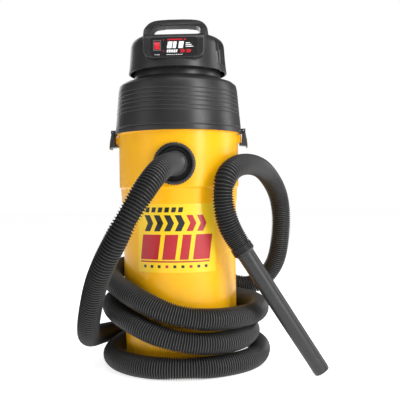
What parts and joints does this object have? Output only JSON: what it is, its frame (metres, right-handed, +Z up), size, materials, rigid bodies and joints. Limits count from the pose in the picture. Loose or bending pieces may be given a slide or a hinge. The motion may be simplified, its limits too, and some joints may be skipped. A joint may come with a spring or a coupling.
{
  "type": "shop vacuum",
  "caption": "Wet and dry shop vacuum: tapered yellow tank, black ridged lid and motor head with a carrying handle, side latches, and a corrugated hose wrapped round the tank with its wand.",
  "frame": {"origin": "centre of the tank's flat base, on the floor", "axes": "+Z up along the tank; the hose inlet and the switch panel face -Y; +X is the side with the vents"},
  "size_m": [0.4594, 0.4479, 0.6613],
  "materials": {
    "tank_yellow": "satin",
    "moulded_black": "satin",
    "hose_black": "satin",
    "inner_grey": "matte",
    "rocker_red": "gloss",
    "seal_rubber": "matte",
    "filter_foam": "matte",
    "float_white": "satin",
    "bright_steel": "satin",
    "core_iron": "satin",
    "coil_copper": "satin",
    "holder_brass": "satin",
    "brush_carbon": "matte",
    "fan_aluminium": "satin"
  },
  "bodies": {
    "base": {"tank": "tank_yellow", "inlet_collar": "moulded_black", "inlet_nut": "inner_grey", "inlet_deflector": "moulded_black", "hanger_plate": "moulded_black", "hanger_screw_left": "bright_steel", "hanger_screw_right": "bright_steel", "hose": "hose_black", "hose_cuff_tank": "moulded_black", "hose_cuff_wand": "moulded_black", "wand": "moulded_black"},
    "head": {"lid": "moulded_black", "lid_gasket": "seal_rubber", "bulkhead": "inner_grey", "blower_shell": "inner_grey", "float_cage": "moulded_black", "filter_sleeve": "filter_foam", "filter_band": "seal_rubber", "motor_housing": "moulded_black", "handle_yoke": "moulded_black", "panel_plate": "moulded_black", "switch_body": "inner_grey", "cord_gland": "moulded_black", "latch_pin_left": "bright_steel", "latch_pin_right": "bright_steel", "head_screw_1": "bright_steel", "head_screw_2": "bright_steel", "head_screw_3": "bright_steel", "head_screw_4": "bright_steel", "stator_core": "core_iron", "field_coil_front": "coil_copper", "field_coil_rear": "coil_copper", "brush_holder_left": "holder_brass", "brush_holder_right": "holder_brass", "carbon_brush_left": "brush_carbon", "carbon_brush_right": "brush_carbon", "bearing_lower": "bright_steel", "bearing_upper": "bright_steel", "motor_bridge": "inner_grey"},
    "latch_left": {"latch_left": "moulded_black"},
    "latch_right": {"latch_right": "moulded_black"},
    "rocker": {"rocker": "rocker_red"},
    "rotor": {"motor_shaft": "bright_steel", "armature": "core_iron", "commutator": "coil_copper", "cooling_fan": "moulded_black", "impeller": "fan_aluminium"},
    "float": {"float_ball": "float_white"}
  },
  "joints": [
    {"name": "lid_lift", "type": "slide", "parent": "base", "child": "head", "axis": [0, 0, 1], "range_m": [0, 0.3]},
    {"name": "latch_left_swing", "type": "hinge", "parent": "head", "child": "latch_left", "pos_m": [-0.1266, 0, 0.4482], "axis": [0, 1, 0], "range_deg": [0, 60]},
    {"name": "latch_right_swing", "type": "hinge", "parent": "head", "child": "latch_right", "pos_m": [0.1266, 0, 0.4482], "axis": [0, -1, 0], "range_deg": [0, 60]},
    {"name": "switch_rock", "type": "hinge", "parent": "head", "child": "rocker", "pos_m": [-0.03, -0.0925, 0.5955], "axis": [-1, 0, 0], "range_deg": [0, 16]},
    {"name": "rotor_spin", "type": "hinge", "parent": "head", "child": "rotor", "pos_m": [0, 0, 0.56], "axis": [0, 0, 1], "continuous": true},
    {"name": "float_rise", "type": "slide", "parent": "head", "child": "float", "axis": [0, 0, 1], "range_m": [0, 0.0695]}
  ]
}
